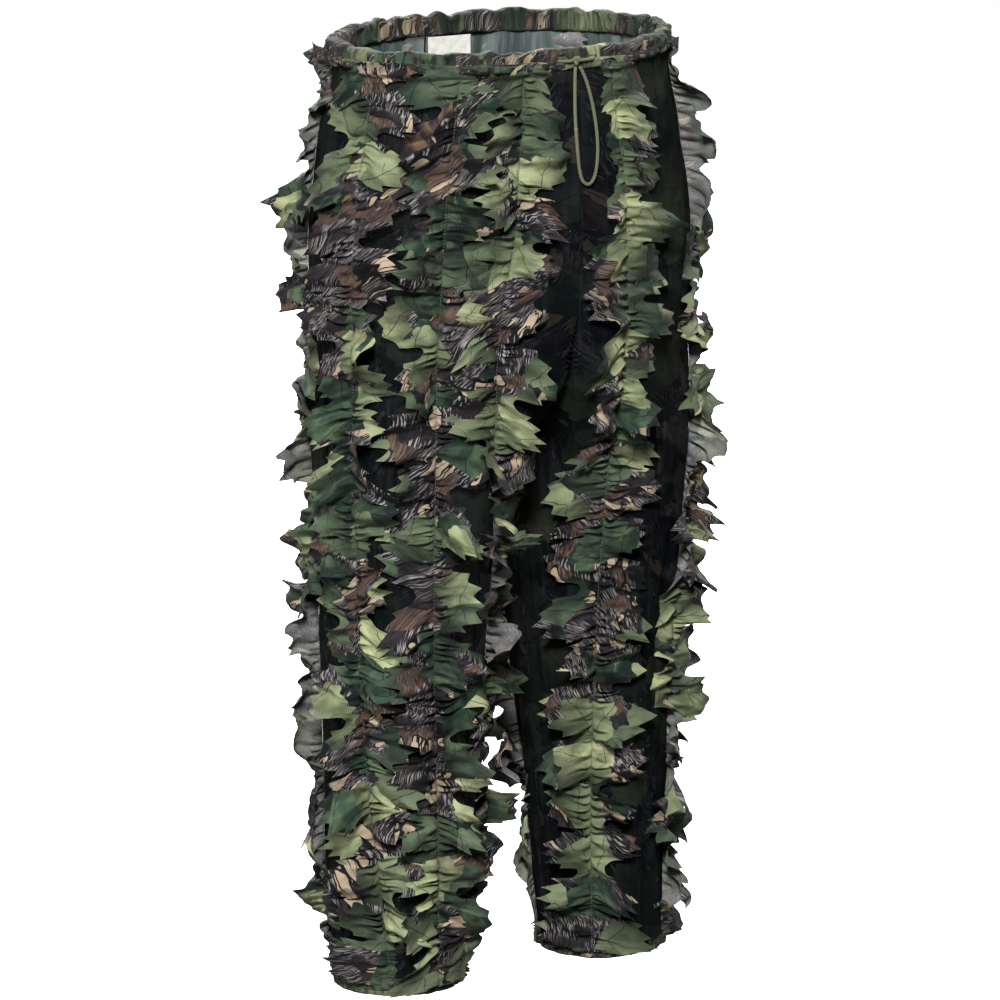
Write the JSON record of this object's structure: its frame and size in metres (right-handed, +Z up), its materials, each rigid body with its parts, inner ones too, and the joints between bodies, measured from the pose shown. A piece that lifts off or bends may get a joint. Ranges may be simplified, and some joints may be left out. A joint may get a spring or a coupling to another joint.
{
  "type": "ghillie suit trousers",
  "caption": "Leaf-covered camouflage trousers with an elastic, drawstring waist, mesh legs that swing and bend, ruched leaf strips and elastic hems.",
  "frame": {"origin": "middle of the waist opening, level with the waistband's top rim", "axes": "+Z up out of the waist, -Y to the wearer's front, -X to the wearer's right"},
  "size_m": [0.5063, 0.3601, 1.02],
  "materials": {
    "mesh_cloth": "fine ribbed see-through polyester mesh, dark bark print",
    "leaf_cloth": "light printed polyester cut into leaf shapes and gathered on a seam",
    "printed_cloth": "woven polyester with a leaf and bark print, gathered by elastic",
    "elastic": "braided flat elastic",
    "cord": "round braided olive cord",
    "thread": "dense zigzag buttonhole stitching",
    "label_satin": "woven satin ribbon, blank"
  },
  "bodies": {
    "seat": {"waist_casing": "printed_cloth", "waist_elastic": "elastic", "drawstring": "cord", "drawstring_knot": "cord", "buttonhole_right": "thread", "buttonhole_left": "thread", "seat_front_right": "mesh_cloth", "seat_back_right": "mesh_cloth", "seat_front_left": "mesh_cloth", "seat_back_left": "mesh_cloth", "hip_front_right": "mesh_cloth", "hip_back_right": "mesh_cloth", "hip_front_left": "mesh_cloth", "hip_back_left": "mesh_cloth", "strip_inner_right_upper": "leaf_cloth", "strip_front_right_upper": "leaf_cloth", "strip_outer_right_upper": "leaf_cloth", "strip_rear_right_upper": "leaf_cloth", "strip_back_right_upper": "leaf_cloth", "strip_front_left_upper": "leaf_cloth", "strip_outer_left_upper": "leaf_cloth", "strip_rear_left_upper": "leaf_cloth", "strip_back_left_upper": "leaf_cloth", "strip_inner_left_upper": "leaf_cloth"},
    "right_thigh": {"thigh_front_right": "mesh_cloth", "thigh_back_right": "mesh_cloth", "knee_front_right": "mesh_cloth", "knee_back_right": "mesh_cloth", "strip_inner_right_lower": "leaf_cloth", "strip_front_right_lower": "leaf_cloth", "strip_outer_right_lower": "leaf_cloth", "strip_rear_right_lower": "leaf_cloth", "strip_back_right_lower": "leaf_cloth"},
    "right_shin": {"shin_front_right": "mesh_cloth", "shin_back_right": "mesh_cloth", "hem_casing_right": "printed_cloth", "hem_elastic_right": "elastic"},
    "left_thigh": {"thigh_front_left": "mesh_cloth", "thigh_back_left": "mesh_cloth", "knee_front_left": "mesh_cloth", "knee_back_left": "mesh_cloth", "strip_front_left_lower": "leaf_cloth", "strip_outer_left_lower": "leaf_cloth", "strip_rear_left_lower": "leaf_cloth", "strip_back_left_lower": "leaf_cloth", "strip_inner_left_lower": "leaf_cloth"},
    "left_shin": {"shin_front_left": "mesh_cloth", "shin_back_left": "mesh_cloth", "hem_casing_left": "printed_cloth", "hem_elastic_left": "elastic"},
    "cord_loop": {"drawstring_loop": "cord"},
    "label_tag": {"label": "label_satin"}
  },
  "joints": [
    {"name": "right_hip", "type": "hinge", "parent": "seat", "child": "right_thigh", "pos_m": [-0.112, 0, -0.33], "axis": [-1, 0, 0], "range_deg": [-20, 40], "deforming": ["hip_front_right", "hip_back_right", "strip_inner_right_upper", "strip_front_right_upper", "strip_outer_right_upper", "strip_rear_right_upper", "strip_back_right_upper"]},
    {"name": "right_knee", "type": "hinge", "parent": "right_thigh", "child": "right_shin", "pos_m": [-0.122, 0, -0.65], "axis": [1, 0, 0], "range_deg": [0, 60], "deforming": ["knee_front_right", "knee_back_right", "strip_inner_right_lower", "strip_front_right_lower", "strip_outer_right_lower", "strip_rear_right_lower", "strip_back_right_lower"]},
    {"name": "left_hip", "type": "hinge", "parent": "seat", "child": "left_thigh", "pos_m": [0.112, 0, -0.33], "axis": [-1, 0, 0], "range_deg": [-20, 40], "deforming": ["hip_front_left", "hip_back_left", "strip_front_left_upper", "strip_outer_left_upper", "strip_rear_left_upper", "strip_back_left_upper", "strip_inner_left_upper"]},
    {"name": "left_knee", "type": "hinge", "parent": "left_thigh", "child": "left_shin", "pos_m": [0.122, 0, -0.65], "axis": [1, 0, 0], "range_deg": [0, 60], "deforming": ["knee_front_left", "knee_back_left", "strip_front_left_lower", "strip_outer_left_lower", "strip_rear_left_lower", "strip_back_left_lower", "strip_inner_left_lower"]},
    {"name": "loop_swing", "type": "hinge", "parent": "seat", "child": "cord_loop", "pos_m": [-0.007, -0.152, -0.0178], "axis": [-1, 0, 0], "range_deg": [0, 70]},
    {"name": "label_flip", "type": "hinge", "parent": "seat", "child": "label_tag", "pos_m": [0.02574, 0.13265, -0.0234], "axis": [-0.9945, 0.1052, 0], "range_deg": [0, 100]}
  ]
}
